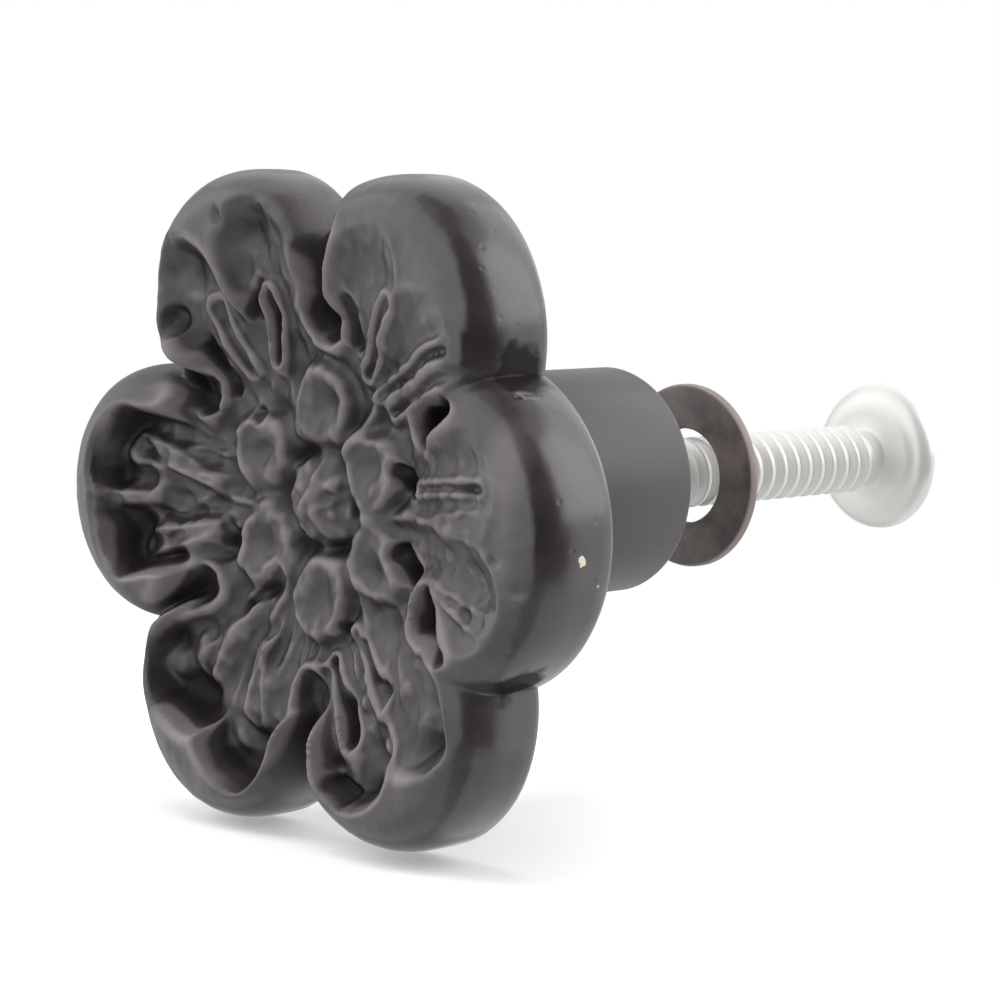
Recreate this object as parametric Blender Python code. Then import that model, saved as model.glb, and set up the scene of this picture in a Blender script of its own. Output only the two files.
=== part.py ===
"""Flower cabinet knob: a cast flower head on a round stem, with its machine screw and one loose washer.

The stem's end face lies in the plane y = 0 with its centre at the origin. The flower faces -Y, the screw
runs towards +Y, and +Z is up. Lengths are in metres.
"""

import math

import bmesh
import bpy
import numpy as np
from mathutils import Matrix, Vector, noise

MM = 0.001

# Flower head
FLOWER_RADIUS = 23.0
HEAD_THICKNESS = 6.2
BACK_EDGE = 0.6
SPOKES = 128
FIELD_RINGS = 24
RIM_RINGS = 8

# Stem and its blind hole
STEM_LENGTH = 22.0
STEM_RADIUS = 7.4
STEM_EDGE = 0.4
STEM_SEGMENTS = 64
ROOT_FILLET = 1.2
HOLE_EXTRA_DEPTH = 3.0
HOLE_MOUTH = 0.5

# Screw with a mushroom head
SCREW_RADIUS = 2.38
THREAD_ROOT_RADIUS = 1.86
THREAD_PITCH = 1.27
THREAD_FADE = 0.9
SCREW_LENGTH = 35.0
SCREW_STANDS_OUT = 25.4
SCREW_NECK = 1.0
SCREW_HEAD_RADIUS = 5.2
SCREW_HEAD_HEIGHT = 2.7
SCREW_HEAD_RIM = 0.15
RECESS_LENGTH = 5.4
RECESS_WIDTH = 1.1
RECESS_DEPTH = 1.8
SCREW_SEGMENTS = 24

# Washer
WASHER_RADIUS = 6.2
WASHER_HOLE_RADIUS = 3.2
WASHER_THICKNESS = 0.7
WASHER_FACE = 6.8
WASHER_DROP = 0.2
WASHER_EDGE = 0.12
WASHER_SEGMENTS = 56

# Clear gap between pieces that touch in the real knob
GAP = 0.3

# The relief is drawn on a flower of 23 mm radius that stands 6.2 mm high, and scaled to the real one.
DRAWN_RADIUS = 23.0
DRAWN_HEIGHT = 6.2
HUB = 13.5
SIDE = 2.3
RIM = 3.3
FIELD = 2.1
POCKET = 1.25
# Each petal: the direction of its lobe in degrees, the distance of the lobe's centre, the lobe's radius,
# and how far its two hollows reach, the clockwise one first
PETALS = (
    (-2.3, 12.9, 9.9, 19.7, 19.7),
    (52.5, 13.4, 9.2, 19.7, 19.4),
    (116.0, 13.4, 8.2, 19.0, 19.3),
    (181.0, 14.9, 8.2, 19.2, 19.2),
    (238.0, 14.2, 8.3, 18.9, 18.6),
    (304.5, 13.4, 9.1, 18.4, 19.8),
)
# Each notch, from the first two petals on: half the pocket's width at its inner and outer end, and how
# far its floor is filled up
POCKETS = (
    (1.2, 0.15, 0.0),
    (1.35, 1.9, 0.0),
    (1.0, 0.3, 1.7),
    (1.0, 0.3, 1.7),
    (1.2, 2.0, 0.0),
    (1.25, 0.2, 0.0),
)
# Each hairpin ridge: where it starts and ends, half its width, and how far its middle stands up
HAIRPINS = (
    ((8.4, 1.6), (17.0, 2.6), 0.50, -0.15),
    ((8.6, -0.3), (17.1, 1.0), 0.50, -0.25),
    ((9.2, -3.6), (16.6, -4.6), 0.90, -0.30),
    ((5.1, 8.4), (8.4, 13.4), 0.66, -0.45),
    ((6.6, 6.4), (12.8, 10.4), 0.60, -0.20),
    ((-2.9, 8.3), (-3.3, 13.0), 1.05, -0.70),
    ((-6.0, 8.2), (-8.0, 11.6), 0.80, -0.10),
    ((-9.6, 0.9), (-15.8, 2.4), 0.95, 0.75),
    ((-10.2, -2.4), (-15.8, -3.7), 0.95, 0.75),
    ((-7.4, -8.2), (-10.4, -11.2), 0.90, 0.60),
    ((-5.0, -9.3), (-5.2, -13.4), 0.90, 0.60),
    ((3.6, -7.6), (7.4, -11.2), 0.65, -0.20),
    ((1.7, -9.6), (4.0, -13.8), 0.70, -0.80),
)


def fresh_collection(name):
    group = bpy.data.collections.new(name)
    bpy.context.scene.collection.children.link(group)
    return group


def painted(name, colour, roughness, metallic):
    material = bpy.data.materials.new(name)
    material.use_nodes = True
    shader = material.node_tree.nodes["Principled BSDF"]
    shader.inputs["Base Color"].default_value = (*colour, 1.0)
    shader.inputs["Roughness"].default_value = roughness
    shader.inputs["Metallic"].default_value = metallic
    material.diffuse_color = (*colour, 1.0)
    return material


def add_object(name, mesh_data, group, material):
    mesh = bpy.data.meshes.new(name)
    mesh_data.to_mesh(mesh)
    mesh_data.free()
    obj = bpy.data.objects.new(name, mesh)
    group.objects.link(obj)
    if material:
        mesh.materials.append(material)
    return obj


def turned(profile, steps):
    """The profile, as (radius, y) pairs in millimetres, spun once about the Y axis."""
    mesh = bmesh.new()
    points = [mesh.verts.new((radius * MM, y * MM, 0.0)) for radius, y in profile]
    edges = [mesh.edges.new(pair) for pair in zip(points, points[1:])]
    bmesh.ops.spin(
        mesh, geom=points + edges, cent=(0, 0, 0), axis=(0, 1, 0), angle=2 * math.pi,
        steps=steps, use_merge=True,
    )
    bmesh.ops.remove_doubles(mesh, verts=mesh.verts[:], dist=0.00001)
    bmesh.ops.recalc_face_normals(mesh, faces=mesh.faces[:])
    return mesh


def cutter(obj):
    obj.hide_render = True
    obj.display_type = "WIRE"
    return obj


def boolean(obj, other, operation):
    step = obj.modifiers.new(other.name, "BOOLEAN")
    step.operation = operation
    step.solver = "EXACT"
    step.object = other


# The flower's relief, on the drawn flower

def smooth(value, low, high):
    share = np.clip((value - low) / (high - low), 0, 1)
    return share * share * (3 - 2 * share)


def along_and_across(x, z, degrees):
    turn = math.radians(degrees)
    return x * math.cos(turn) + z * math.sin(turn), z * math.cos(turn) - x * math.sin(turn)


def capsule(s, t, start, end, width_start, width_end):
    """Distance outside a tapered bar that lies along s."""
    place = np.clip((s - start) / (end - start), 0, 1)
    return np.hypot(s - start - place * (end - start), t) - (width_start + place * (width_end - width_start))


def ridge(distance, width):
    return np.exp(-((distance / width) ** 2))


def joined(first, second):
    """The nearer of two distances, with the corner between them rounded off."""
    return 0.5 * (first + second - np.sqrt((first - second) ** 2 + 0.8))


def outline_radius(turn):
    """How far the petals reach from the flower's centre in each direction."""
    reach = np.full(turn.shape, HUB)
    for degrees, centre, radius, _, _ in PETALS:
        across = centre * np.sin(turn - math.radians(degrees))
        along = centre * np.cos(turn - math.radians(degrees))
        lobe = along + np.sqrt(np.maximum(radius * radius - across * across, 0))
        reach = np.where((across**2 < radius**2) & (along > 0), np.maximum(reach, lobe), reach)
    return reach


def fullness_at(x, z):
    """1 where the mould filled best, on the right, and 0 opposite, where the hearts stayed deep."""
    return 0.5 + 0.5 * np.cos(np.arctan2(z, x) - math.radians(38))


def rim_height(x, z):
    """The rolled rim: a steep side that turns over to the crest."""
    inwards = HUB - np.hypot(x, z)
    for degrees, centre, radius, _, _ in PETALS:
        turn = math.radians(degrees)
        lobe = radius - np.hypot(x - centre * math.cos(turn), z - centre * math.sin(turn))
        inwards = np.maximum(inwards, lobe)
    share = np.clip(inwards / (RIM - 0.9 * fullness_at(x, z)), 0, 1)
    return SIDE + (DRAWN_HEIGHT - SIDE) * (1 - (1 - share) ** 2.4) ** (1 / 2.4)


def relief(x, z):
    """How far the drawn flower's face stands in front of its back."""
    true_x, true_z = x, z
    # A slow wander keeps the petals from being exact copies, as in the hand-made casting
    x = x + 0.24 * np.sin(0.55 * z + 0.7) + 0.15 * np.sin(0.9 * x - 0.6 * z)
    z = z + 0.24 * np.sin(0.5 * x - 1.1) + 0.15 * np.sin(0.8 * z + 0.7 * x)
    r = np.hypot(x, z)
    fullness = fullness_at(x, z)
    height = FIELD + 2.2 * (r / 19) ** 2 + 1.7 * fullness**1.5 * smooth(r, 7.5, 16.5)

    angles = [petal[0] for petal in PETALS]
    notches = [(a + b + (360 if b < a else 0)) / 2 for a, b in zip(angles, angles[1:] + angles[:1])]
    field_edge = r - 12.6
    for degrees, _, _, clockwise, counter in PETALS:
        s, t = along_and_across(x, z, degrees)
        ahead = np.where(s > 0, 1.0, 0.0)
        end = np.where(t > 0, counter, clockwise)
        # Two scooped hollows end under the rim, with a cusp between them
        s_lobe, t_lobe = along_and_across(s, np.abs(t), 10.8)
        lobe = capsule(s_lobe, t_lobe, 11.0, end - 3.4, 2.9, 3.4) + 0.75 * fullness
        field_edge = np.where(s > 0, joined(field_edge, lobe), field_edge)
        height -= ahead * (1.5 - 1.3 * fullness) * ridge(np.hypot(s_lobe - end + 2.3, t_lobe), 2.2)
        # A low rib runs out from between two inner petals
        height += ahead * 0.5 * ridge(t, 0.6) * smooth(s, 3.4, 4.6) * (1 - smooth(s, 8.4, 10.5))
    for (x0, z0), (x1, z1), width, middle in HAIRPINS:
        s, t = along_and_across(x - x0, z - z0, math.degrees(math.atan2(z1 - z0, x1 - x0)))
        pin = capsule(s, t, 0.0, math.hypot(x1 - x0, z1 - z0), 0.75 * width, 1.1 * width)
        height += (0.55 - 0.25 * (middle > 0)) * ridge(pin, 0.6) + middle * smooth(-pin, 0.0, 0.6)
    for index, degrees in enumerate(notches):
        s, t = along_and_across(x, z, degrees)
        # An inner petal like a pillow with a dimple off its middle
        pillow = np.hypot((s - 5.9) / 3.1, t / (2.85 - 0.1 * (s - 5.9)))
        dimple = np.hypot((s - 6.0) / 1.8, (t - 0.35 * (-1) ** index) / 1.2)
        swell = 1.4 * smooth(1.08 - pillow, 0.0, 0.42) - (0.4 + 0.25 * (index % 2)) * ridge(dimple, 0.9)
        height += np.where(s > 0, swell, 0)
    # Streaks run outwards over the field, as if raked into the mould
    around = np.arctan2(true_z, true_x)
    rays = [noise.noise(Vector((8.5 * math.cos(a), 8.5 * math.sin(a), b / 3.6))) for a, b in zip(around, r)]
    height += 0.42 * np.array(rays) * smooth(r, 6.5, 9.5)
    # The rough boss at the centre
    height += 1.9 * np.clip(1 - (r / 3.1) ** 2, 0, 1) ** 0.8 - 0.4 * ridge(r - 3.3, 0.45)

    over_rim = smooth(field_edge / (0.85 + 0.35 * fullness), -1.0, 1.0)
    height = height * (1 - over_rim) + rim_height(true_x, true_z) * over_rim
    for degrees, (width_in, width_out, filled) in zip(notches, POCKETS):
        s, t = along_and_across(x, z, degrees)
        # A deep pocket runs in from the notch and ends in a raised U
        pocket = capsule(s, t, 12.0, 15.6 + 2.0 * width_out, width_in, width_out)
        lip = np.minimum(3.6 + 0.27 * np.maximum(s - 10, 0), DRAWN_HEIGHT)
        raised = np.where(s > 0, ridge(pocket - 0.6, 0.5), 0) * (1 - smooth(s, 14.0, 16.5))
        height = height + raised * np.maximum(lip - height, 0)
        floor = np.where(s > 0, 1 - smooth(pocket, -0.9, 0.7), 0)
        rise = filled + (2.6 - 1.2 * width_out) * smooth(s, 13.0, 19.0)
        height = height * (1 - floor) + np.minimum(height, POCKET + rise) * floor
    return height


def flower_head(group, material):
    """A lathe shape whose rings are then pushed out to the petals and forwards to the relief."""
    field = [0.84 * (k / FIELD_RINGS) ** 0.95 for k in range(FIELD_RINGS + 1)]
    rim = [0.84 + 0.16 * math.sin(math.radians(90 * k / RIM_RINGS)) for k in range(1, RIM_RINGS + 1)]
    edge = BACK_EDGE / FLOWER_RADIUS
    back = [(1 - 0.1 * edge, 0.0), (1 - 0.4 * edge, 0.5), (1 - edge, 1.0), (0.0, 1.0)]
    rings = [(share, -1.0) for share in field + rim] + back
    mesh = turned([(share / MM, level / MM) for share, level in rings], SPOKES)
    places = np.array([v.co for v in mesh.verts])
    share = np.hypot(places[:, 0], places[:, 2])
    turn = np.arctan2(places[:, 2], places[:, 0])
    blend = smooth(share, 0.3, 0.9)
    reach = share * ((1 - blend) * 19.5 + blend * outline_radius(turn))
    x, z = reach * np.cos(turn), reach * np.sin(turn)
    level = places[:, 1]
    on_face = level < -0.5
    height = np.interp(level, (0.0, 0.5, 1.0), (BACK_EDGE, 0.2 * BACK_EDGE, 0.0))
    height[on_face] = relief(x[on_face], z[on_face]) * HEAD_THICKNESS / DRAWN_HEIGHT
    size = FLOWER_RADIUS / DRAWN_RADIUS
    for vert, px, py, pz in zip(mesh.verts, x, height, z):
        vert.co = (px * size * MM, -(STEM_LENGTH + py) * MM, pz * size * MM)
    # The paint and the sand mould soften the relief
    inside = [vert for vert, near, part in zip(mesh.verts, on_face, share) if near and part < 0.92]
    bmesh.ops.smooth_vert(mesh, verts=inside, factor=0.5, use_axis_x=False, use_axis_y=True, use_axis_z=False)
    bmesh.ops.recalc_face_normals(mesh, faces=mesh.faces[:])
    return add_object("knob_casting", mesh, group, material)


def knob_casting(group, cutters, material):
    obj = flower_head(group, material)
    # The stem sinks a little into the head so that the two join, with a cast fillet at the root
    root = []
    for k in range(5):
        a = math.radians(90 * k / 4)
        bulge = ROOT_FILLET * (1 - math.cos(a))
        root.append((STEM_RADIUS + bulge, -STEM_LENGTH + ROOT_FILLET * (1 - math.sin(a))))
    sunk = -STEM_LENGTH - 0.15 * HEAD_THICKNESS
    stem = [(0.0, sunk), (STEM_RADIUS + ROOT_FILLET, sunk)] + root[::-1]
    stem += [(STEM_RADIUS, -STEM_EDGE), (STEM_RADIUS - 0.3 * STEM_EDGE, -0.3 * STEM_EDGE)]
    stem += [(STEM_RADIUS - STEM_EDGE, 0.0), (0.0, 0.0)]
    post = cutter(add_object("stem_shape", turned(stem, STEM_SEGMENTS), cutters, None))
    boolean(obj, post, "UNION")
    # The tapped hole is a plain bore that clears the screw
    hole_radius = SCREW_RADIUS + GAP
    hole_bottom = -(SCREW_LENGTH - SCREW_STANDS_OUT) - HOLE_EXTRA_DEPTH
    drill = [(0.0, hole_bottom - 0.6 * hole_radius), (hole_radius, hole_bottom), (hole_radius, -HOLE_MOUTH)]
    drill += [(hole_radius + HOLE_MOUTH, 0.0), (hole_radius + HOLE_MOUTH, HOLE_MOUTH), (0.0, HOLE_MOUTH)]
    bore = cutter(add_object("stem_hole_shape", turned(drill, 2 * SCREW_SEGMENTS), cutters, None))
    boolean(obj, bore, "DIFFERENCE")
    return obj


def close_with_rings(mesh, loop, rings):
    """Draws an open round end out through the rings, given as (radius, y) pairs, the last on the axis."""
    for radius, along in rings:
        drawn = bmesh.ops.extrude_edge_only(mesh, edges=loop)["geom"]
        loop = [e for e in drawn if isinstance(e, bmesh.types.BMEdge) and e.is_boundary]
        for vert in {end for e in loop for end in e.verts}:
            turn = math.atan2(vert.co.z, vert.co.x)
            vert.co = (radius * math.cos(turn), along, radius * math.sin(turn))


def threaded_blank():
    """The screw before its recess is pressed: a helical thread, closed by the tip and the mushroom head."""
    tip = SCREW_STANDS_OUT - SCREW_LENGTH
    start, end = tip + THREAD_FADE, SCREW_STANDS_OUT - SCREW_NECK
    mesh = bmesh.new()
    # One pitch of the thread is swept along a helix that overshoots both ends
    outline = [(THREAD_ROOT_RADIUS, -1.0), (SCREW_RADIUS, -0.5), (THREAD_ROOT_RADIUS, 0.0)]
    points = [mesh.verts.new((radius, start + share * THREAD_PITCH, 0.0)) for radius, share in outline]
    edges = [mesh.edges.new(pair) for pair in zip(points, points[1:])]
    turns = int((end - start) / THREAD_PITCH) + 3
    bmesh.ops.spin(
        mesh, geom=points + edges, cent=(0, 0, 0), axis=(0, 1, 0), angle=2 * math.pi * turns,
        steps=SCREW_SEGMENTS * turns, dvec=(0, THREAD_PITCH / SCREW_SEGMENTS, 0), use_merge=False,
    )
    for vert in mesh.verts:
        # What overshoots is drawn in to a ring at the root, and the thread fades in and out
        along = min(max(vert.co.y, start), end)
        fade = min((along - start) / THREAD_FADE, (end - along) / THREAD_FADE, 1.0)
        radius = math.hypot(vert.co.x, vert.co.z)
        wanted = THREAD_ROOT_RADIUS + (radius - THREAD_ROOT_RADIUS) * fade
        vert.co = (vert.co.x * wanted / radius, along, vert.co.z * wanted / radius)
    bmesh.ops.remove_doubles(mesh, verts=mesh.verts[:], dist=0.002)
    top = SCREW_STANDS_OUT + SCREW_HEAD_HEIGHT
    rise = SCREW_HEAD_HEIGHT - SCREW_HEAD_RIM
    dome = (SCREW_HEAD_RADIUS**2 + rise**2) / (2 * rise)
    lean = math.asin(SCREW_HEAD_RADIUS / dome)
    head = [(THREAD_ROOT_RADIUS, SCREW_STANDS_OUT), (SCREW_HEAD_RADIUS, SCREW_STANDS_OUT)]
    for k in range(7):
        a = lean * (1 - k / 6)
        head.append((dome * math.sin(a), top - dome * (1 - math.cos(a))))
    taper = 0.5 * (start - tip)
    point = [(THREAD_ROOT_RADIUS, tip + taper), (THREAD_ROOT_RADIUS - taper, tip), (0.0, tip)]
    ends = [e for e in mesh.edges if e.is_boundary]
    close_with_rings(mesh, [e for e in ends if e.verts[0].co.y > 0], head)
    close_with_rings(mesh, [e for e in ends if e.verts[0].co.y < 0], point)
    bmesh.ops.remove_doubles(mesh, verts=mesh.verts[:], dist=0.002)
    bmesh.ops.scale(mesh, verts=mesh.verts[:], vec=(MM, MM, MM))
    bmesh.ops.recalc_face_normals(mesh, faces=mesh.faces[:])
    return mesh


def machine_screw(group, cutters, material):
    """The threaded blank, with the cross recess cut in its head."""
    obj = add_object("machine_screw", threaded_blank(), group, material)
    top = SCREW_STANDS_OUT + SCREW_HEAD_HEIGHT
    for name, degrees in (("recess_wing", 20.0), ("recess_cross_wing", 110.0)):
        mesh = bmesh.new()
        bmesh.ops.create_cube(mesh, size=1.0)
        for vert in mesh.verts:
            bottom = vert.co.y < 0
            length = RECESS_LENGTH * (0.45 if bottom else 1.0)
            width = RECESS_WIDTH * (0.8 if bottom else 1.0)
            height = top - RECESS_DEPTH if bottom else top + 0.2 * RECESS_DEPTH
            vert.co = (vert.co.x * length * MM, height * MM, vert.co.z * width * MM)
        turn = Matrix.Rotation(math.radians(degrees), 3, "Y")
        bmesh.ops.rotate(mesh, verts=mesh.verts[:], cent=(0, 0, 0), matrix=turn)
        boolean(obj, cutter(add_object(name, mesh, cutters, None)), "DIFFERENCE")
    return obj


def washer(group, material):
    """A stamped flat ring with eased edges, hanging a little low on the screw."""
    face, back = WASHER_FACE, WASHER_FACE + WASHER_THICKNESS
    inner, outer, ease = WASHER_HOLE_RADIUS, WASHER_RADIUS, WASHER_EDGE
    profile = [(inner, back - ease), (inner, face + ease), (inner + ease, face), (outer - ease, face)]
    profile += [(outer, face + ease), (outer, back - ease), (outer - ease, back), (inner + ease, back)]
    mesh = turned(profile + profile[:1], WASHER_SEGMENTS)
    bmesh.ops.translate(mesh, verts=mesh.verts[:], vec=(0, 0, -WASHER_DROP * MM))
    return add_object("washer", mesh, group, material)


for old in list(bpy.data.objects):
    bpy.data.objects.remove(old)

knob = fresh_collection("flower_cabinet_knob")
shapes = fresh_collection("cutters")
black_paint = painted("black_paint", (0.035, 0.031, 0.034), 0.36, 0.0)
bright_zinc = painted("bright_zinc", (0.74, 0.74, 0.73), 0.4, 0.7)
dark_steel = painted("dark_steel", (0.09, 0.075, 0.07), 0.45, 0.4)

casting = knob_casting(knob, shapes, black_paint)
screw = machine_screw(knob, shapes, bright_zinc)
ring = washer(knob, dark_steel)
for piece in (casting, screw, ring):
    piece.data.shade_smooth()
    piece.data.set_sharp_from_angle(angle=math.radians(50))
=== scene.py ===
import math

import bmesh
import bpy
import numpy as np
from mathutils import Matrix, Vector, noise


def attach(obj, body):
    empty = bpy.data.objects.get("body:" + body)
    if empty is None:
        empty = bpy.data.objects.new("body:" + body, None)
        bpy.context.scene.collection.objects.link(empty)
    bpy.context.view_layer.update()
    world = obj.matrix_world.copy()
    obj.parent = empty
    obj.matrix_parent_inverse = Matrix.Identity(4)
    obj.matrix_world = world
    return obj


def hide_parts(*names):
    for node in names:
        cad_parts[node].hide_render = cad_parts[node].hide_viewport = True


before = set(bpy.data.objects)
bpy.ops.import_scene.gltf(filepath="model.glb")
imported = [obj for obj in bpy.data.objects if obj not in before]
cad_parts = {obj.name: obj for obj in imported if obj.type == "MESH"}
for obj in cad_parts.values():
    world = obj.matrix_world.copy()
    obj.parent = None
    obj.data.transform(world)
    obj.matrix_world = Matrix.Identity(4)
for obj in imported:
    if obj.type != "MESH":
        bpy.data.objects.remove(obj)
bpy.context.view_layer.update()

MM = 0.001

# The knob itself: one casting of flower head and round stem, poured in a sand mould and painted black.
# A blind hole in the stem's end is tapped for the screw. The stem's end face lies at y = 0, and the
# depths below are measured forwards from it, in millimetres.

# Each petal: the direction of its lobe in degrees, the distance of the lobe's centre, the lobe's radius,
# how far its two hollows reach, the clockwise one first, half the angle between them, and how far they
# are turned from the lobe's direction
PETALS = (
    (-2.3, 12.9, 9.9, 19.7, 19.7, 10.8, 0.0),
    (52.5, 13.4, 9.2, 19.7, 19.4, 10.8, -3.5),
    (116.0, 13.4, 8.2, 19.0, 19.3, 13.2, -2.0),
    (181.0, 14.9, 8.2, 19.2, 19.2, 6.5, 0.0),
    (238.0, 14.2, 8.3, 18.9, 18.6, 10.8, 0.0),
    (304.5, 13.4, 9.1, 18.4, 19.8, 10.8, 0.0),
)
# Each hairpin ridge: where it starts and ends, half its width at both ends, its height, and the depth of
# its groove, which is negative where the hairpin is a filled bar
HAIRPINS = (
    ((9.9, 1.45), (18.2, 2.5), 0.30, 0.42, 0.50, 0.15),
    ((10.0, -0.35), (18.0, 0.5), 0.20, 0.95, 0.30, -0.50),
    ((10.9, -3.9), (17.8, -5.2), 0.50, 1.00, 0.30, -0.55),
    ((5.0, 8.2), (10.0, 12.2), 0.45, 0.60, 0.75, 0.50),
    ((6.3, 6.9), (15.1, 9.9), 0.35, 0.50, 0.60, 0.25),
    ((7.3, 5.9), (16.0, 8.6), 0.35, 0.50, 0.60, 0.35),
    ((-3.4, 8.4), (-2.8, 12.5), 0.45, 0.60, 0.75, 0.40),
    ((-6.0, 8.2), (-8.0, 11.6), 0.60, 0.85, 0.65, 0.10),
    ((-9.6, 0.9), (-16.9, 2.5), 0.70, 1.15, 0.30, -0.75),
    ((-10.2, -2.4), (-16.4, -3.8), 0.70, 1.15, 0.30, -0.75),
    ((-15.5, -0.5), (-19.0, -0.9), 0.60, 0.75, 0.10, -0.55),
    ((-7.4, -8.2), (-10.4, -11.2), 0.70, 1.00, 0.35, -0.60),
    ((-5.0, -9.3), (-5.2, -13.4), 0.70, 1.00, 0.35, -0.60),
    ((3.6, -7.6), (7.4, -11.2), 0.50, 0.70, 0.50, 0.20),
    ((1.7, -9.6), (4.0, -13.8), 0.50, 0.75, 0.40, 0.80),
)
# Slits and pits left by sand that broke out of the mould: start, end, half the width, depth
SLITS = (
    ((7.6, 2.4), (8.6, 1.5), 0.40, 1.2),
    ((7.5, -2.5), (8.9, -3.7), 0.50, 1.3),
    ((-3.0, 11.4), (-3.4, 8.6), 0.10, 0.6),
    ((5.0, 12.2), (4.2, 10.0), 0.45, 0.8),
    ((-3.9, 13.2), (-5.2, 11.5), 0.25, 0.9),
    ((-9.6, 9.3), (-8.1, 6.5), 0.20, 0.9),
    ((-5.7, 5.2), (-5.3, 5.0), 0.25, 0.7),
    ((-5.9, 17.6), (-5.9, 17.2), 0.10, 0.5),
    ((-12.2, 11.0), (-12.1, 10.2), 0.50, 0.6),
    ((0.9, -10.2), (3.5, -15.2), 0.15, 0.9),
    ((3.8, -16.4), (5.0, -17.1), 0.30, 0.8),
    ((2.3, -7.3), (4.4, -9.9), 0.12, 0.8),
    ((4.4, -8.1), (5.8, -10.0), 0.12, 0.8),
    ((7.0, -10.3), (7.4, -10.6), 0.35, 0.7),
    ((-16.5, 2.6), (-11.8, 0.3), 0.06, 0.5),
    ((-15.5, -1.5), (-13.0, -2.0), 0.15, 0.5),
    ((-9.2, -2.5), (-8.6, -2.9), 0.50, 0.5),
    ((-7.2, -7.0), (-3.5, -4.5), 0.25, 0.7),
    ((13.9, -1.5), (14.2, -1.7), 0.06, 0.5),
    ((16.6, -2.1), (17.3, -2.6), 0.06, 0.4),
    ((19.1, -1.6), (19.2, -1.7), 0.08, 0.4),
    ((20.8, -3.1), (20.9, -3.3), 0.06, 0.3),
    ((14.4, -4.3), (15.2, -4.5), 0.12, 0.4),
    ((15.9, -4.9), (16.2, -5.3), 0.10, 0.4),
    ((17.1, -4.3), (17.3, -4.5), 0.08, 0.4),
)
# Lumps between them: place, size, height
LUMPS = (
    ((-17.4, 1.7), 1.0, 0.5),
    ((-12.0, -3.9), 0.9, 0.5),
    ((-12.6, -11.4), 1.2, 0.6),
    ((-7.2, -14.9), 1.0, 0.6),
    ((4.8, -14.9), 1.1, 0.8),
    ((8.0, -13.6), 0.6, 0.5),
    ((11.4, -12.3), 0.9, 0.4),
)
# Each notch, starting between the first two petals: half the pocket's width at its inner and outer end,
# how far these ends lie to the side of the notch's direction, and how far its floor is filled up
POCKETS = (
    (1.2, 0.2, 0.0, 0.0, 0.0),
    (1.7, 1.9, -0.4, -1.4, 0.0),
    (1.0, 0.3, 0.0, 0.0, 1.7),
    (1.0, 0.3, 0.0, 0.0, 1.7),
    (1.2, 2.0, 0.0, 0.0, 1.4),
    (1.25, 0.25, 0.0, 0.0, 0.0),
)
# Thin webs of metal left standing in the two notches on the right: start, end, height of the top
WEBS = (
    ((13.2, 5.8), (18.6, 7.9), 26.0),
    ((12.4, -6.2), (18.0, -8.2), 25.8),
)
HUB_RADIUS = 13.5
BACK_DEPTH = 22.0
# The side wall tapers towards the mould's parting: the depth and the share of the outline's width
SIDE_WALL = ((23.4, 1.0), (22.6, 0.998), (22.25, 0.992), (22.06, 0.983), (BACK_DEPTH, 0.97))
SIDE_DEPTH = 24.3
RIM_DEPTH = 28.2
RIM_WIDTH = 3.3
FIELD_DEPTH = 24.1
FIELD_EDGE = 12.6
FULLEST_SIDE = 38
SCOOP_ANGLE = 10.8
MIDDLE_REACH = 19.5
POCKET_DEPTH = 23.2
POCKET_START = 12.0
INNER_PETAL_CENTRE = 5.9
INNER_PETAL_LENGTH = 3.1
INNER_PETAL_WIDTH = 2.85
INNER_PETAL_HEIGHT = 1.2
BOSS_RADIUS = 3.1
BOSS_HEIGHT = 1.9
STEM_RADIUS = 7.4
STEM_EDGE = 0.4
ROOT_FILLET = 1.2
HOLE_RADIUS = 2.68
HOLE_BOTTOM = 12.6
FACE_CELLS = 250
# The share of the cells, and of the way out to the outline, that the field and the rim take up
FIELD_CELLS, RIM_CELLS = 0.8, 0.2
FIELD_SHARE, RIM_SHARE = 0.84, 0.16
STEM_STEPS = 200
# The largest share of the dull black that stands in for painted shade
MOST_MATTE = 0.85


def smooth(value, low, high):
    share = np.clip((value - low) / (high - low), 0, 1)
    return share * share * (3 - 2 * share)


def along_and_across(x, z, degrees):
    turn = math.radians(degrees)
    return x * math.cos(turn) + z * math.sin(turn), z * math.cos(turn) - x * math.sin(turn)


def capsule(s, t, start, end, width_start, width_end):
    """Distance outside a tapered bar that lies along s."""
    place = np.clip((s - start) / (end - start), 0, 1)
    width = width_start + place * (width_end - width_start)
    return np.hypot(s - start - place * (end - start), t) - width


def bar(x, z, start, end, width_start, width_end):
    """Distance outside a tapered bar between two places on the face."""
    (x0, z0), (x1, z1) = start, end
    s, t = along_and_across(x - x0, z - z0, math.degrees(math.atan2(z1 - z0, x1 - x0)))
    return capsule(s, t, 0.0, math.hypot(x1 - x0, z1 - z0), width_start, width_end)


def ridge(distance, width):
    return np.exp(-((distance / width) ** 2))


def joined(first, second):
    """The nearer of two distances, with the corner between them rounded off."""
    return 0.5 * (first + second - np.sqrt((first - second) ** 2 + 0.8))


def unevenness(x, z, size, seed):
    """A soft random height between about -1 and 1, with lumps of the given size."""
    return np.array([noise.noise(Vector((a / size, b / size, seed))) for a, b in zip(x, z)])


def streaks(x, z, r, fineness, length, seed):
    """A soft random height, drawn out into streaks that run outwards."""
    return np.array(
        [
            noise.noise(Vector((fineness * math.cos(a), fineness * math.sin(a), seed + b / length)))
            for a, b in zip(np.arctan2(z, x), r)
        ]
    )


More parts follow.
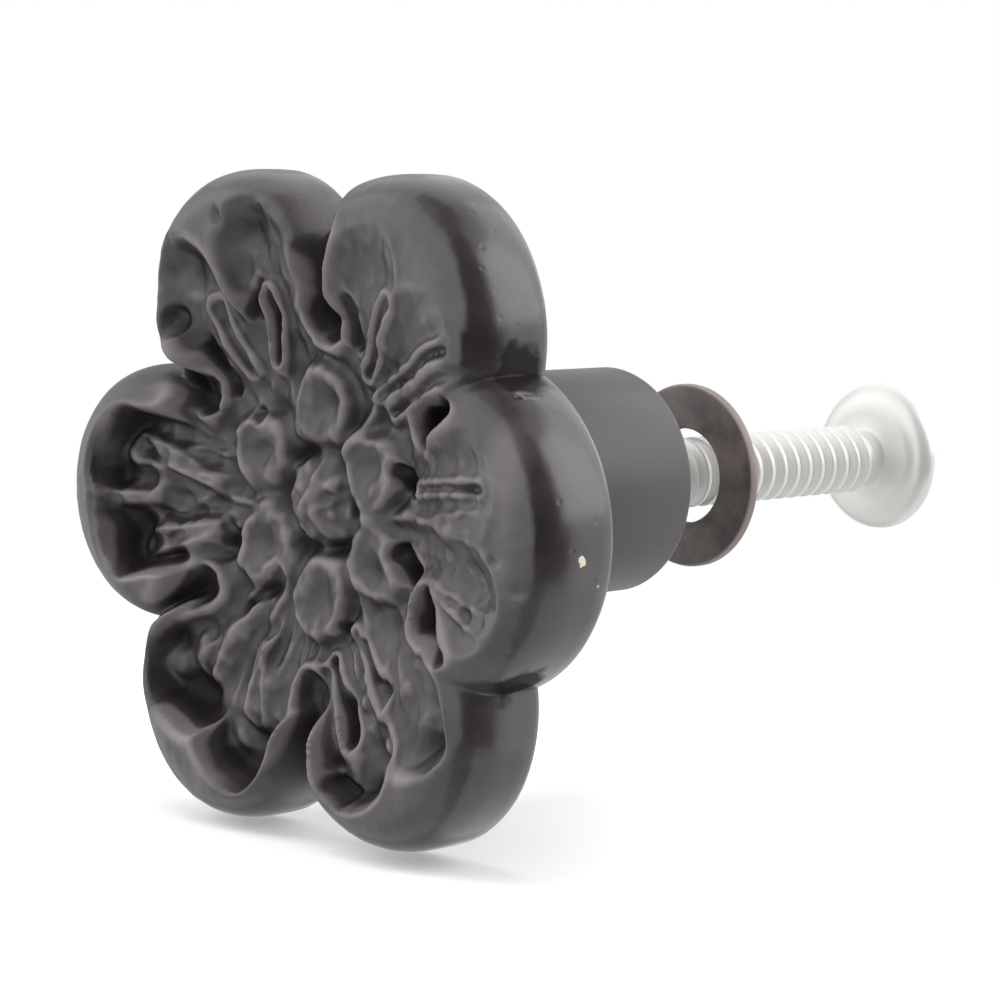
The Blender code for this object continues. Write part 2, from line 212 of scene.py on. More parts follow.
def outline_radius(turn):
    """How far the petals reach from the flower's centre in each direction."""
    reach = np.full(turn.shape, HUB_RADIUS)
    for degrees, centre, radius, *_ in PETALS:
        across = centre * np.sin(turn - math.radians(degrees))
        along = centre * np.cos(turn - math.radians(degrees))
        inside = np.maximum(radius * radius - across * across, 0)
        met = (across**2 < radius**2) & (along > 0)
        reach = np.where(met, np.maximum(reach, along + np.sqrt(inside)), reach)
    return reach


def fullness_at(x, z):
    """1 where the metal filled the mould full and soft, on the right, and 0 opposite, where it is sharp."""
    return 0.5 + 0.5 * np.cos(np.arctan2(z, x) - math.radians(FULLEST_SIDE))


def rim_height(x, z):
    """The rolled rim: a steep side that turns over to the crest."""
    inwards = HUB_RADIUS - np.hypot(x, z)
    for degrees, centre, radius, *_ in PETALS:
        turn = math.radians(degrees)
        lobe = radius - np.hypot(x - centre * math.cos(turn), z - centre * math.sin(turn))
        inwards = np.maximum(inwards, lobe)
    share = np.clip(inwards / (RIM_WIDTH - 0.9 * fullness_at(x, z)), 0, 1)
    return SIDE_DEPTH + (RIM_DEPTH - SIDE_DEPTH) * (1 - (1 - share) ** 2.4) ** (1 / 2.4)


def face_depth(x, z):
    """How far the flower's face stands in front of the stem's end."""
    # Every line wanders a little, because the pattern was cut by hand
    true_x, true_z = x, z
    x = x + 0.24 * np.sin(0.55 * z + 0.7) + 0.15 * np.sin(0.9 * x - 0.6 * z)
    x = x + 0.30 * unevenness(true_x, true_z, 3.6, 1.0)
    z = z + 0.24 * np.sin(0.5 * x - 1.1) + 0.15 * np.sin(0.8 * z + 0.7 * x)
    z = z + 0.30 * unevenness(true_x, true_z, 3.6, 9.0)
    r = np.hypot(x, z)
    fullness = fullness_at(x, z)
    # The field is a shallow bowl with coarse lumps
    depth = FIELD_DEPTH + 2.2 * (r / 19) ** 2 + 2.0 * fullness**1.5 * smooth(r, 7.5, 16.5)
    depth += (0.5 - 0.42 * fullness) * unevenness(true_x, true_z, 2.0, 21.0) * smooth(r, 6.0, 9.0)

    angles = [petal[0] for petal in PETALS]
    notches = [(a + b + (360 if b < a else 0)) / 2 for a, b in zip(angles, angles[1:] + angles[:1])]
    field_edge = r - FIELD_EDGE
    for degrees, _, _, clockwise, counter, apart, turned_by in PETALS:
        s, t = along_and_across(x, z, degrees + turned_by)
        ahead = np.where(s > 0, 1.0, 0.0)
        end = np.where(t > 0, counter, clockwise)
        # Two scooped hollows end under the rim, with a cusp between them
        s_lobe, t_lobe = along_and_across(s, np.abs(t), apart)
        lobe = capsule(s_lobe, t_lobe, 11.0, end - 3.4, 2.9, 3.4) + 0.75 * fullness
        field_edge = np.where(s > 0, joined(field_edge, lobe), field_edge)
        s_lobe, t_lobe = along_and_across(s, np.abs(t), SCOOP_ANGLE)
        depth -= ahead * (1.5 - 1.4 * fullness) * ridge(np.hypot(s_lobe - end + 1.9, t_lobe), 1.9)
        # A low rib runs out from between two inner petals
        depth += ahead * 0.55 * ridge(t, 0.5) * smooth(s, 3.4, 4.6) * (1 - smooth(s, 8.4, 10.5))
    # Streaks run outwards over the field, as if raked into the mould
    off_centre = smooth(r, 6.5, 9.5)
    depth += (0.42 - 0.3 * fullness) * streaks(true_x, true_z, r, 8.5, 3.6, 0) * off_centre
    veins = 1 - np.minimum(np.abs(streaks(true_x, true_z, r, 9, 5, 5)) * 3, 1)
    depth += (0.3 - 0.25 * fullness) * veins * off_centre * (1 - smooth(r, 14, 16))
    # The hairpins wander half as much as the rest
    for start, end, start_width, end_width, height, groove in HAIRPINS:
        pin = bar(0.5 * (x + true_x), 0.5 * (z + true_z), start, end, start_width, end_width)
        depth += height * ridge(pin, 0.36) - groove * smooth(-pin, -0.1, 0.4)
    for (x0, z0), size, height in LUMPS:
        depth += height * ridge(np.hypot(x - x0, z - z0), size)
    for index, degrees in enumerate(notches):
        s, t = along_and_across(x, z, degrees)
        # An inner petal like a pillow with a dimple off its middle
        outwards = s - INNER_PETAL_CENTRE
        pillow = np.hypot(outwards / INNER_PETAL_LENGTH, t / (INNER_PETAL_WIDTH - 0.1 * outwards))
        dimple = np.hypot((s - 6.0) / 1.8, (t - 0.35 * (-1) ** index) / 1.2)
        swell = INNER_PETAL_HEIGHT * smooth(1.08 - pillow, 0.0, 0.42)
        swell = swell - (0.55 + 0.2 * (index % 2)) * ridge(dimple, 0.8)
        depth += np.where(s > 0, swell, 0)
    # The rough boss at the centre
    depth += BOSS_HEIGHT * np.clip(1 - (r / BOSS_RADIUS) ** 2, 0, 1) ** 0.8 - 0.2 * ridge(r - 3.3, 0.45)
    depth += 0.3 * unevenness(true_x, true_z, 0.9, 31.0) * (1 - smooth(r, 2.5, 3.5))

    # The rim stands round the field, with a faint lip along its inner edge
    edge_width = 0.6 + 0.7 * fullness
    over_rim = smooth(field_edge / edge_width, -1.0, 1.0)
    depth = depth * (1 - over_rim) + rim_height(true_x, true_z) * over_rim
    depth = depth + 0.12 * ridge(field_edge - 0.6, 0.35)
    for degrees, (width_in, width_out, aside_in, aside_out, filled) in zip(notches, POCKETS):
        s, t = along_and_across(x, z, degrees)
        t = t - aside_in - (aside_out - aside_in) * np.clip((s - POCKET_START) / 6, 0, 1)
        # A deep pocket runs in from the notch and ends in a raised U
        pocket = capsule(s, t, POCKET_START, 15.6 + 2.0 * width_out, width_in, width_out)
        lip = np.minimum(25.6 + 0.27 * np.maximum(s - 10, 0), RIM_DEPTH)
        raised = np.where(s > 0, ridge(pocket - 0.6, 0.45), 0) * (1 - smooth(s, 14.0, 16.5))
        depth = depth + raised * np.maximum(lip - depth, 0)
        floor = np.where(s > 0, 1 - smooth(pocket, -0.8, 0.5), 0)
        rise = filled + (2.6 - 1.2 * width_out) * smooth(s, 13.0, 19.0)
        depth = depth * (1 - floor) + np.minimum(depth, POCKET_DEPTH + rise) * floor
    for start, end, top in WEBS:
        depth += ridge(bar(x, z, start, end, 0.02, 0.1), 0.3) * np.maximum(top - depth, 0)
    # Sand-cast unevenness, stronger on the sunk field than on the rubbed rim
    rough = 0.2 + 0.8 * (1 - over_rim)
    sand = 0.20 * unevenness(true_x, true_z, 1.2, 3.0) + 0.10 * unevenness(true_x, true_z, 0.6, 5.0)
    depth += rough * sand
    for start, end, width, cut in SLITS:
        slit = bar(true_x, true_z, start, end, width, width)
        depth -= cut * (1 - smooth(slit, -0.15, 0.35))
    # The boss is pitted on its right
    pits = smooth(unevenness(true_x, true_z, 0.8, 7.0), -0.1, 0.3)
    depth -= 0.35 * ridge(np.hypot(true_x - 1.7, true_z - 0.2), 1.2) * pits
    return depth


def ring_share(place):
    """Rings stand closer together where the rim turns over."""
    inner = FIELD_SHARE * (np.minimum(place, FIELD_CELLS) / FIELD_CELLS) ** 0.97
    outer = FIELD_SHARE + RIM_SHARE * np.sin(np.clip((place - FIELD_CELLS) / RIM_CELLS, 0, 1) * math.pi / 2)
    return np.where(place < FIELD_CELLS, inner, outer)


def drawn_out(mesh, loop):
    """Extrudes an open edge in place and returns the new open edge."""
    drawn = bmesh.ops.extrude_edge_only(mesh, edges=loop)["geom"]
    return [e for e in drawn if isinstance(e, bmesh.types.BMEdge) and e.is_boundary]


def turned(mesh, profile, steps, turns=1, climb=0.0):
    """Turns a line of places, each a radius and a depth, about the knob's axis, climbing at each turn."""
    points = [mesh.verts.new((radius, along, 0.0)) for radius, along in profile]
    edges = [mesh.edges.new(pair) for pair in zip(points, points[1:])]
    bmesh.ops.spin(
        mesh,
        geom=points + edges,
        cent=(0, 0, 0),
        axis=(0, 1, 0),
        angle=2 * math.pi * turns,
        steps=steps * turns,
        dvec=(0, climb / steps, 0),
        use_merge=climb == 0,
    )


def put_in_scene(name, mesh):
    """Makes the finished mesh an object of the scene."""
    mesh_data = bpy.data.meshes.new(name)
    mesh.to_mesh(mesh_data)
    mesh.free()
    piece = bpy.data.objects.new(name, mesh_data)
    bpy.context.scene.collection.objects.link(piece)
    return piece


shape = bmesh.new()
bmesh.ops.create_grid(shape, x_segments=FACE_CELLS, y_segments=FACE_CELLS, size=1.0)
# The square sheet is bent to the flower's outline: its square rings become rings of the flower
places = np.array([v.co for v in shape.verts])
u, v = places[:, 0], places[:, 1]
place = np.maximum(np.abs(u), np.abs(v))
wide = np.abs(u) >= np.abs(v)
step = np.where(wide, v, u) / np.maximum(place, 1e-9) * math.pi / 4
beside = np.where(u > 0, step, math.pi - step)
above_or_below = np.where(v > 0, math.pi / 2 - step, -math.pi / 2 + step)
turn = np.where(wide, beside, above_or_below)
share = ring_share(place)
blend = smooth(share, 0.3, 0.9)
reach = share * ((1 - blend) * MIDDLE_REACH + blend * outline_radius(turn))
x, z = reach * np.cos(turn), reach * np.sin(turn)
y = -np.maximum(face_depth(x, z), BACK_DEPTH + 1.2)
for vert, px, py, pz in zip(shape.verts, x, y, z):
    vert.co = (px, py, pz)
inside = [vert for vert, near in zip(shape.verts, share) if near < 0.93]
for _ in range(2):
    bmesh.ops.smooth_vert(shape, verts=inside, factor=0.5, use_axis_y=True)
# How far each place lies below what is a millimetre or so around it, and how far it stands above what is
# close by, are kept for the painted shade and painted light in the enamel's colour
side = math.isqrt(len(shape.verts))
heights = -np.array([vert.co.y for vert in shape.verts]).reshape(side, side)
shifts = range(-16, 17)
for layer_name, cells, sign in (("hollow", 7, 1), ("crest", 3, -1)):
    weights = [math.exp(-((k / cells) ** 2)) for k in shifts]
    around = heights
    for axis in (0, 1):
        shifted = [np.roll(around, k, axis) * weight for k, weight in zip(shifts, weights)]
        around = sum(shifted) / sum(weights)
    amounts = sign * (around - heights).ravel() * (1 - smooth(share, 0.8, 0.93))
    layer = shape.verts.layers.float.new(layer_name)
    for vert, amount in zip(shape.verts, amounts):
        vert[layer] = float(amount)
# The edge of the sheet is drawn back into the side wall
edge = [e for e in shape.edges if e.is_boundary]
for depth, scale in SIDE_WALL:
    edge = drawn_out(shape, edge)
    for vert in {w for e in edge for w in e.verts}:
        turn = math.atan2(vert.co.z, vert.co.x)
        reach = float(outline_radius(np.array([turn]))[0]) * scale
        vert.co = (reach * math.cos(turn), -depth, reach * math.sin(turn))
outer = edge
# The stem is turned: back fillet, round wall, broken edge and the blind hole
stem = [(STEM_RADIUS + ROOT_FILLET + 0.8, -BACK_DEPTH)]
for degrees in range(90, -1, -15):
    out, up = math.cos(math.radians(degrees)), math.sin(math.radians(degrees))
    stem.append((STEM_RADIUS + ROOT_FILLET * (1 - out), -BACK_DEPTH + ROOT_FILLET * (1 - up)))
stem += [(STEM_RADIUS, -16.0), (STEM_RADIUS, -8.0), (STEM_RADIUS, -STEM_EDGE), (STEM_RADIUS - 0.12, -0.12)]
stem += [(STEM_RADIUS - STEM_EDGE, 0.0), (5.0, 0.0), (HOLE_RADIUS + 0.4, 0.0), (HOLE_RADIUS, -0.4)]
stem += [(HOLE_RADIUS, -HOLE_BOTTOM), (0.0, -HOLE_BOTTOM - 1.4)]
turned(shape, stem, STEM_STEPS)
on_axis = [vert for vert in shape.verts if math.hypot(vert.co.x, vert.co.z) < 0.01]
bmesh.ops.remove_doubles(shape, verts=on_axis, dist=0.01)
inner = [e for e in shape.edges if e.is_boundary and e not in set(outer)]
bmesh.ops.bridge_loops(shape, edges=outer + inner)
bmesh.ops.scale(shape, verts=shape.verts[:], vec=(MM, MM, MM))
bmesh.ops.recalc_face_normals(shape, faces=shape.faces[:])
casting = put_in_scene("painted_casting", shape)
casting.data.shade_smooth()
casting.data.set_sharp_from_angle(angle=math.radians(60))


class Value:
    """A shader socket that takes part in Python arithmetic."""

    def __init__(self, nodes, socket):
        self.nodes, self.socket = nodes, socket

    def maths(self, operation, other):
        return self.nodes.add("ShaderNodeMath", {"operation": operation}, self, other)

    def __add__(self, other):
        return self.maths("ADD", other)

    __radd__ = __add__

    def __mul__(self, other):
        return self.maths("MULTIPLY", other)

    __rmul__ = __mul__

    def __sub__(self, other):
        return self.maths("SUBTRACT", other)

    def __rsub__(self, other):
        return self.nodes.add("ShaderNodeMath", {"operation": "SUBTRACT"}, other, self)

    def above(self, low, high):
        """0 below low, 1 above high, and a ramp between."""
        return self.nodes.add("ShaderNodeMapRange", {"clamp": True}, self, low, high, 0.0, 1.0)


class Nodes:
    """A tree of shader nodes, with one method that adds any node."""

    def __init__(self, tree):
        self.tree = tree

    def add(self, kind, settings, *values, output=0, **named):
        node = self.tree.nodes.new(kind)
        for key, setting in settings.items():
            setattr(node, key, setting)
        for place, value in list(enumerate(values)) + list(named.items()):
            socket = node.inputs[place]
            if isinstance(value, Value):
                self.tree.links.new(value.socket, socket)
            elif value is not None:
                socket.default_value = value
        return Value(self, node.outputs[output])


class Finish(Nodes):
    """A material on a Principled shader."""

    def __init__(self, name, colour, roughness, metallic=0.0, **fixed):
        self.material = bpy.data.materials.new(name)
        self.material.use_nodes = True
        super().__init__(self.material.node_tree)
        self.shader = self.tree.nodes["Principled BSDF"]
        self.shader.inputs["Base Color"].default_value = (*colour, 1.0)
        self.shader.inputs["Roughness"].default_value = roughness
        self.shader.inputs["Metallic"].default_value = metallic
        for socket, value in fixed.items():
            self.shader.inputs[socket.replace("_", " ").title()].default_value = value
        self.material.diffuse_color = (*colour, 1.0)

    def mix(self, share, first, second):
        """A colour between two colours, by a share. Five sockets for other kinds come before the colours."""
        return self.add("ShaderNodeMix", {"data_type": "RGBA"}, share, *[None] * 5, first, second, output=2)

    def place(self):
        """The place on the object, which the patterns follow."""
        return self.add("ShaderNodeTexCoord", {}, output="Object")

    def speckle(self, spot, scale, detail, roughness=0.5):
        """Noise with lumps of about one metre divided by the scale."""
        kind = "ShaderNodeTexNoise"
        return self.add(kind, {}, Vector=spot, Scale=scale, Detail=detail, Roughness=roughness)

    def vector(self, operation, *values, output=0):
        return self.add("ShaderNodeVectorMath", {"operation": operation}, *values, output=output)

    def distance(self, spot, centre):
        """How far a place lies from a centre."""
        return self.vector("LENGTH", self.vector("SUBTRACT", spot, centre), output="Value")

    def feed(self, socket, value):
        self.tree.links.new(value.socket, self.shader.inputs[socket])


# Semi-gloss black enamel, brushed on. Its colour carries painted shade in the hollows and painted light on
# the raised parts and crests.
enamel = Finish("black_enamel", (0.026, 0.020, 0.025), 0.4, coat_roughness=0.2)
enamel.shader.inputs["Specular IOR Level"].default_value = 0.65
spot = enamel.place()
grain = enamel.speckle(spot, 1400.0, 4.0, 0.6)
clouds = enamel.speckle(spot, 260.0, 3.0)
pits = enamel.add("ShaderNodeTexVoronoi", {"feature": "F1"}, Vector=spot, Scale=900.0, Randomness=1.0)
from_axis = enamel.vector("LENGTH", enamel.vector("MULTIPLY", spot, (1.0, 0.0, 1.0)), output="Value")
on_rim = from_axis.above(0.0165, 0.0195)
inside_rim = 1 - from_axis.above(0.0187, 0.0196)
hollow_here = enamel.add("ShaderNodeAttribute", {"attribute_name": "hollow"}, output="Fac")
crest_here = enamel.add("ShaderNodeAttribute", {"attribute_name": "crest"}, output="Fac")
paint = enamel.mix(clouds.above(0.35, 0.7), (0.019, 0.015, 0.0185, 1), (0.036, 0.029, 0.034, 1))
# Painted light: places that stand above their surroundings are lighter, and the crests lighter still
paint = enamel.mix(inside_rim * (0.0 - hollow_here).above(0.10, 0.45), paint, (0.066, 0.056, 0.062, 1))
paint = enamel.mix(inside_rim * crest_here.above(0.02, 0.16), paint, (0.135, 0.117, 0.128, 1))
# Painted light: a lighter patch on the crest of the right petal, where the light falls on it
from_lit_patch = enamel.vector("SUBTRACT", spot, (0.0199, -0.0280, 0.0036))
from_lit_patch = enamel.vector("LENGTH", enamel.vector("MULTIPLY", from_lit_patch, (1.6, 1.0, 0.7)), output="Value")
paint = enamel.mix(1 - from_lit_patch.above(0.0008, 0.0026), paint, (0.082, 0.070, 0.077, 1))
# Painted shade: the hollows are darkened to near black
paint = enamel.mix(hollow_here.above(0.0, 0.4), paint, (0.007, 0.005, 0.007, 1))
# One chip on the right petal's side shows the cream primer, with a dark and a grey speck below it
ragged = enamel.speckle(spot, 2600.0, 2.0)
for centre, radius, colour in (
    ((0.02273, -0.02472, -0.00158), 0.00026, (0.60, 0.56, 0.44, 1)),
    ((0.02255, -0.02352, -0.00270), 0.00012, (0.006, 0.005, 0.005, 1)),
    ((0.02250, -0.02320, -0.00312), 0.00010, (0.30, 0.29, 0.29, 1)),
):
    away = enamel.distance(spot, centre) + 0.0005 * (ragged - 0.5)
    paint = enamel.mix(away.above(radius, radius + 0.00006), colour, paint)
enamel.feed("Base Color", paint)
enamel.feed("Roughness", 0.40 + 0.10 * clouds.above(0.35, 0.75) + 0.05 * grain - 0.22 * on_rim)
enamel.feed("Coat Weight", 0.05 + 0.2 * on_rim)
height = 0.5 * grain + 0.8 * clouds - 0.5 * (1 - pits.above(0.05, 0.22))
enamel.feed("Normal", enamel.add("ShaderNodeBump", {}, Strength=0.25, Distance=0.0001, Height=height))
# Painted shade: a dull black, which takes the paint's shine away, is laid into the pits and slits
matte_black = enamel.add("ShaderNodeBsdfDiffuse", {}, (0.016, 0.013, 0.015, 1))
matte_share = MOST_MATTE * hollow_here.above(0.20, 0.60)
# Two lumpy patches in the two notches on the right get the same dull black
lumpy = enamel.speckle(spot, 700.0, 3.0)
for centre, radius in (((0.0172, -0.0245, 0.0085), 0.0015), ((0.0180, -0.0252, -0.0091), 0.0014)):
    away = enamel.distance(spot, centre) + 0.002 * (lumpy - 0.5)
    matte_share = matte_share.maths("MAXIMUM", MOST_MATTE - MOST_MATTE * away.above(radius, radius + 0.0006))
surface = enamel.add("ShaderNodeMixShader", {}, matte_share, Value(enamel, enamel.shader.outputs[0]), matte_black)
enamel.tree.links.new(surface.socket, enamel.tree.nodes["Material Output"].inputs["Surface"])
casting.data.materials.append(enamel.material)

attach(casting, "root")
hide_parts("knob_casting")


# The washer: a stamped flat steel ring, oiled dark, loose on the screw. Its punched edge shows a little
# brown where the oil has dried.

WASHER_RADIUS = 6.2
WASHER_HOLE = 3.2
WASHER_FACE = 6.8
WASHER_THICKNESS = 0.7
WASHER_DROP = 0.2
WASHER_STEPS = 160

ring = bmesh.new()
face, back = WASHER_FACE, WASHER_FACE + WASHER_THICKNESS
corners = [(WASHER_HOLE, back - 0.12), (WASHER_HOLE, face + 0.12), (WASHER_HOLE + 0.12, face)]
corners += [(WASHER_RADIUS - 0.25, face), (WASHER_RADIUS - 0.08, face + 0.07), (WASHER_RADIUS, face + 0.25)]
corners += [(WASHER_RADIUS, back - 0.1), (WASHER_RADIUS - 0.08, back)]
corners += [(WASHER_HOLE + 0.1, back), (WASHER_HOLE, back - 0.12)]
turned(ring, [(radius * MM, along * MM) for radius, along in corners], WASHER_STEPS)
bmesh.ops.remove_doubles(ring, verts=ring.verts[:], dist=0.000005)
bmesh.ops.recalc_face_normals(ring, faces=ring.faces[:])
bmesh.ops.translate(ring, verts=ring.verts[:], vec=(0, 0, -WASHER_DROP * MM))
washer = put_in_scene("oiled_washer", ring)
washer.data.shade_smooth()
washer.data.set_sharp_from_angle(angle=math.radians(35))

oiled = Finish("oiled_steel", (0.07, 0.06, 0.056), 0.42, 0.2)
spot = oiled.place()
stain = oiled.speckle(spot, 420.0, 4.0, 0.6)
oily = oiled.mix(stain.above(0.4, 0.7), (0.065, 0.056, 0.055, 1), (0.14, 0.11, 0.10, 1))
flat_spot = oiled.vector("MULTIPLY_ADD", spot, (1.0, 0.0, 1.0), (0.0, 0.0, WASHER_DROP * MM))
from_axis = oiled.vector("LENGTH", flat_spot, output="Value")
oiled.feed("Base Color", oiled.mix(from_axis.above(0.0060, 0.00615), oily, (0.21, 0.175, 0.165, 1)))
oiled.feed("Roughness", 0.36 + 0.2 * stain)
oiled.feed("Normal", oiled.add("ShaderNodeBump", {}, Strength=0.2, Distance=0.00005, Height=stain))
washer.data.materials.append(oiled.material)

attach(washer, "root")
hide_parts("washer")


# The machine screw: cold-headed steel with a rolled thread and a mushroom head, plated in bright zinc.
# It is turned part of the way into the stem.

THREAD_RADIUS = 2.38
THREAD_ROOT = 1.86
THREAD_PITCH = 1.27
SCREW_TIP = -9.6
SCREW_UNDER_HEAD = 25.4
HEAD_RADIUS = 5.2
HEAD_HEIGHT = 2.7
HEAD_ROLL = 1.6
HEAD_FLAT = 3.2
HEAD_TOP = SCREW_UNDER_HEAD + HEAD_HEIGHT
RECESS_LENGTH = 5.4
RECESS_WIDTH = 1.1
RECESS_DEPTH = 1.8
RECESS_TURN = 20
THREAD_FADE = 0.9
THREAD_STEPS = 48

bolt = bmesh.new()
thread_start, thread_end = SCREW_TIP + 0.6, SCREW_UNDER_HEAD - 1.0
# One pitch of the thread's outline is swept along a helix that overshoots both ends
outline = []
for k in range(11):
    swing = 0.5 - 0.5 * math.cos(2 * math.pi * k / 10)
    radius = THREAD_ROOT + (THREAD_RADIUS - THREAD_ROOT) * smooth(swing, 0.05, 0.85)
    outline.append((radius, thread_start - THREAD_PITCH + k / 10 * THREAD_PITCH))
turns = int((thread_end - thread_start) / THREAD_PITCH) + 3
turned(bolt, outline, THREAD_STEPS, turns, THREAD_PITCH)
for vert in bolt.verts:
    # What overshoots is drawn in to a ring at the root, and the thread fades in and out
    along = min(max(vert.co.y, thread_start), thread_end)
    fade = min(max((along - thread_start) / THREAD_FADE, 0), 1)
    fade = fade * min(max((thread_end - along) / THREAD_FADE, 0), 1)
    radius = math.hypot(vert.co.x, vert.co.z)
    wanted = THREAD_ROOT + (radius - THREAD_ROOT) * fade
    vert.co = (vert.co.x * wanted / radius, along, vert.co.z * wanted / radius)
bmesh.ops.remove_doubles(bolt, verts=bolt.verts[:], dist=0.002)
# The two ends are closed by rings drawn out from the thread: a chamfered tip, and the mushroom head
rise = HEAD_HEIGHT - HEAD_ROLL
dome_radius = (HEAD_RADIUS**2 + rise**2) / (2 * rise)
dome_angle = math.asin(HEAD_RADIUS / dome_radius)
head = [(THREAD_ROOT, SCREW_UNDER_HEAD - 0.35), (THREAD_ROOT + 0.1, SCREW_UNDER_HEAD - 0.1)]
head += [(THREAD_ROOT + 0.35, SCREW_UNDER_HEAD), (HEAD_FLAT, SCREW_UNDER_HEAD)]
for k in range(1, 13):
    a = math.radians(90 * k / 12)
    radius = HEAD_FLAT + (HEAD_RADIUS - HEAD_FLAT) * math.sin(a)
    head.append((radius, SCREW_UNDER_HEAD + HEAD_ROLL * (1 - math.cos(a))))
for k in range(16):
    a = dome_angle * (1 - k / 16)
    head.append((dome_radius * math.sin(a), HEAD_TOP - dome_radius * (1 - math.cos(a))))
head.append((0.0, HEAD_TOP))
tip = [(THREAD_ROOT, SCREW_TIP + 0.35), (THREAD_ROOT - 0.35, SCREW_TIP), (0.0, SCREW_TIP)]
for rings, at_head in ((head, True), (tip, False)):
    loop = [e for e in bolt.edges if e.is_boundary and (e.verts[0].co.y > 0) == at_head]
    for radius, along in rings:
        loop = drawn_out(bolt, loop)
        for vert in {w for e in loop for w in e.verts}:
            turn = math.atan2(vert.co.z, vert.co.x)
            vert.co = (radius * math.cos(turn), along, radius * math.sin(turn))
bmesh.ops.remove_doubles(bolt, verts=bolt.verts[:], dist=0.002)
bmesh.ops.scale(bolt, verts=bolt.verts[:], vec=(MM, MM, MM))
bmesh.ops.recalc_face_normals(bolt, faces=bolt.faces[:])
screw = put_in_scene("zinc_screw", bolt)

# The cross recess in the head is pressed in with a punch of two tapered bars
punches = []
for number, degrees in enumerate((RECESS_TURN, RECESS_TURN + 90)):
    punch = bmesh.new()
    bmesh.ops.create_cube(punch, size=1.0)
    c, s = math.cos(math.radians(degrees)), math.sin(math.radians(degrees))
    for vert in punch.verts:
        bottom = vert.co.y < 0
        length = RECESS_LENGTH * (0.45 if bottom else 1.0)
        width = RECESS_WIDTH * (0.8 if bottom else 1.0)
        along = HEAD_TOP - RECESS_DEPTH if bottom else HEAD_TOP + 0.5
        vert.co = (vert.co.x * length * MM, along * MM, vert.co.z * width * MM)
        vert.co.x, vert.co.z = c * vert.co.x + s * vert.co.z, c * vert.co.z - s * vert.co.x
    punches.append(put_in_scene("punch_%d" % number, punch))
    press = screw.modifiers.new("press_%d" % number, "BOOLEAN")
    press.operation, press.solver, press.object = "DIFFERENCE", "EXACT", punches[-1]
pressed = bpy.data.meshes.new_from_object(screw.evaluated_get(bpy.context.evaluated_depsgraph_get()))
screw.modifiers.clear()
screw.data = pressed
for punch in punches:
    bpy.data.objects.remove(punch)

zinc = Finish("bright_zinc_plate", (0.62, 0.62, 0.60), 0.45, 0.4)
spot = zinc.place()
haze = zinc.speckle(spot, 500.0, 3.0, 0.55)
# The head is burnished by its die
along_axis = zinc.vector("DOT_PRODUCT", spot, (0.0, 1.0, 0.0), output="Value")
zinc.feed("Roughness", 0.34 + 0.16 * haze - 0.1 * along_axis.above(0.0250, 0.0258))
zinc.feed("Normal", zinc.add("ShaderNodeBump", {}, Strength=0.15, Distance=0.00004, Height=haze))
screw.data.materials.clear()
screw.data.materials.append(zinc.material)
screw.data.shade_smooth()
screw.data.set_sharp_from_angle(angle=math.radians(40))

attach(screw, "root")
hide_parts("machine_screw")


# The stage: a sheet of white paper under the two lower petals, which keeps the knob's shadow and fades
# out round it, and a camera where the photographer stood.

FLOOR_HEIGHT = -0.0207
AZIMUTH, ELEVATION = math.radians(47.54), math.radians(5.56)
# How far the camera stands from the middle of the stem's end, in millimetres
CAMERA_RIGHT, CAMERA_UP, CAMERA_AWAY = -7.453, -1.414, 199.19


def direction(around, over):
    """Towards a compass direction, counted from the front to the right, and a height."""
    return Vector((math.sin(around) * math.cos(over), -math.cos(around) * math.cos(over), math.sin(over)))


sheet = bmesh.new()
bmesh.ops.create_grid(sheet, x_segments=1, y_segments=1, size=3.0)
bmesh.ops.translate(sheet, verts=sheet.verts[:], vec=(0, 0, FLOOR_HEIGHT))
floor = put_in_scene("floor", sheet)
paper = Finish("white_paper", (0.9, 0.9, 0.9), 0.9)
from_middle = paper.vector("LENGTH", paper.place(), output="Value")
paper.feed("Alpha", 0.7 - 0.7 * from_middle.above(0.05, 0.12))
floor.data.materials.append(paper.material)
floor.visible_glossy = False

to_camera = direction(AZIMUTH, ELEVATION)
to_right = Vector((math.cos(AZIMUTH), math.sin(AZIMUTH), 0.0))
camera_up = to_camera.cross(to_right)
camera = bpy.data.objects.new("camera", bpy.data.cameras.new("camera"))
bpy.context.scene.collection.objects.link(camera)
camera.location = (to_right * CAMERA_RIGHT + camera_up * CAMERA_UP + to_camera * CAMERA_AWAY) * MM
camera.rotation_euler = (-to_camera).to_track_quat("-Z", "Y").to_euler()
camera.data.sensor_width = 36.0
camera.data.lens = 108.26
camera.data.clip_start = 0.01
camera.data.clip_end = 20.0
bpy.context.scene.camera = camera

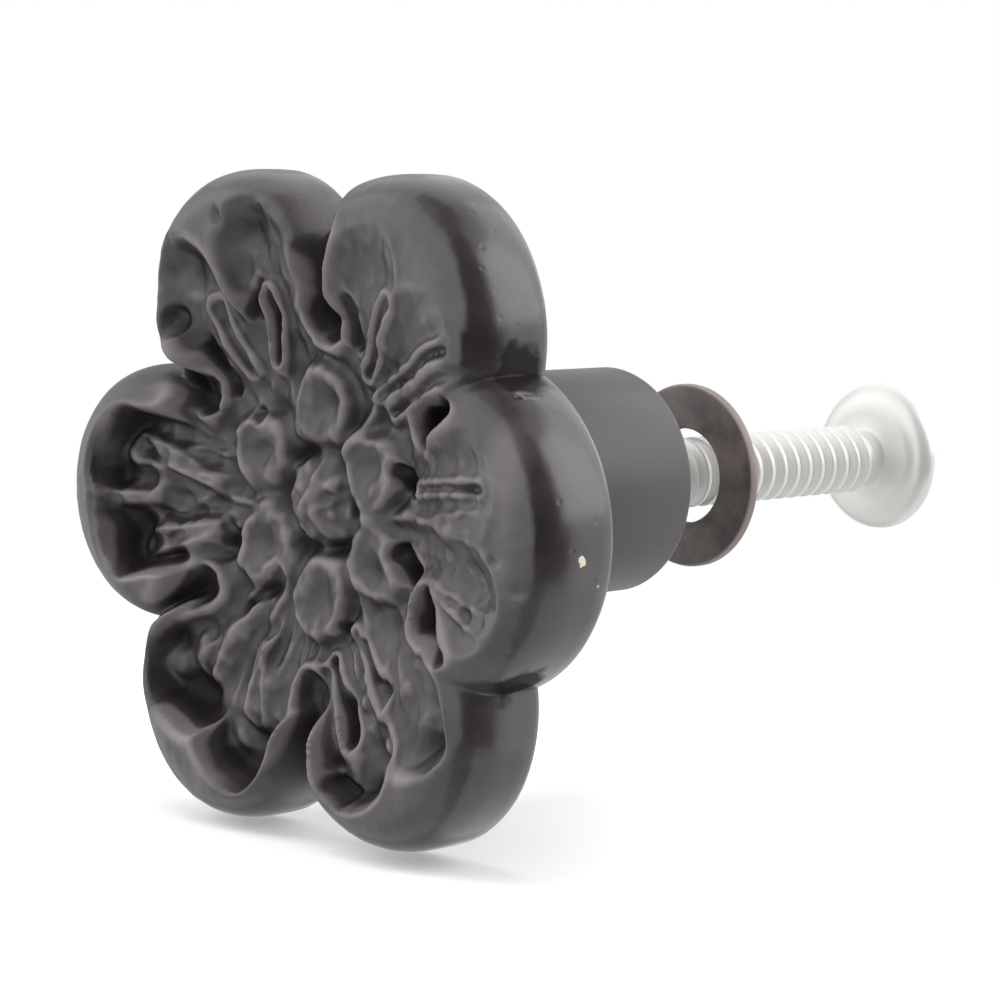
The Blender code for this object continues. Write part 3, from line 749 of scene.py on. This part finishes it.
# Cards 1 m away stand where only the knob's reflections show them, each over a range of compass directions
# and of heights: dark behind the camera, dim on the left and above, bright in front and on the right
for name, brightness, (west, east), (low, high) in (
    ("dark_card", 0.03, (46, 106), (-30, 70)),
    ("dark_low_card", 0.2, (106, 116), (-30, 6)),
    ("front_card", 1.6, (-72, 38), (6, 52)),
    ("front_high_card", 1.3, (-72, 38), (52, 70)),
    ("front_mid_card", 1.45, (-72, 38), (-8, 6)),
    ("front_low_card", 1.05, (-72, 38), (-30, -8)),
    ("left_card", 0.55, (-132, -90), (-30, 28)),
    ("right_card", 2.9, (106, 150), (6, 52)),
    ("right_low_card", 1.3, (116, 178), (-30, 6)),
    ("right_high_card", 0.8, (106, 200), (52, 70)),
    ("back_card", 1.9, (150, 200), (6, 52)),
    ("low_left_card", 0.45, (-145, -90), (-88, -30)),
    ("low_front_card", 0.82, (-90, 30), (-88, -30)),
    ("low_dark_card", 0.4, (30, 82), (-88, -30)),
    ("low_right_card", 1.0, (82, 215), (-88, -30)),
    ("high_card", 0.6, (-110, 30), (70, 88)),
    ("high_dark_card", 0.25, (30, 250), (70, 88)),
):
    sheet = bmesh.new()
    bmesh.ops.create_grid(sheet, x_segments=24, y_segments=24, size=0.5)
    for vert in sheet.verts:
        around = math.radians(west + (east - west) * (vert.co.x + 0.5))
        over = math.radians(low + (high - low) * (vert.co.y + 0.5))
        vert.co = direction(around, over)
    card = put_in_scene(name, sheet)
    card.visible_camera = False
    card.visible_diffuse = False
    card.visible_shadow = False
    glow = Finish(name, (0.01, 0.01, 0.01), 1.0, emission_color=(1, 1, 1, 1), emission_strength=brightness)
    card.data.materials.append(glow.material)

# Three soft lamps, which the gloss doesn't show, light the colours
for name, place, width, power in (
    ("left_softbox", (-0.55, -0.35, 0.45), 0.5, 4.0),
    ("right_softbox", (0.50, 0.35, 0.50), 0.4, 3.0),
    ("top_softbox", (0.0, -0.1, 0.8), 0.6, 4.0),
):
    lamp_data = bpy.data.lights.new(name, "AREA")
    lamp_data.size = width
    lamp_data.energy = power
    lamp = bpy.data.objects.new(name, lamp_data)
    bpy.context.scene.collection.objects.link(lamp)
    lamp.location = place
    lamp.visible_glossy = False
    lamp.rotation_euler = (Vector((0, -0.01, 0)) - Vector(place)).to_track_quat("-Z", "Y").to_euler()

# White all round for the camera and for reflections, and a little less of it on the paint itself
world = bpy.data.worlds.new("white_room")
bpy.context.scene.world = world
world.use_nodes = True
room = Nodes(world.node_tree)
seen = room.add("ShaderNodeLightPath", {}, output="Is Camera Ray")
glossy = room.add("ShaderNodeLightPath", {}, output="Is Glossy Ray")
through = room.add("ShaderNodeLightPath", {}, output="Is Transmission Ray")
air = room.tree.nodes["Background"]
air.inputs["Color"].default_value = (1, 1, 1, 1)
strength = 0.75 + 0.25 * seen.maths("MAXIMUM", glossy.maths("MAXIMUM", through))
room.tree.links.new(strength.socket, air.inputs["Strength"])
bpy.context.scene.view_settings.view_transform = "Standard"
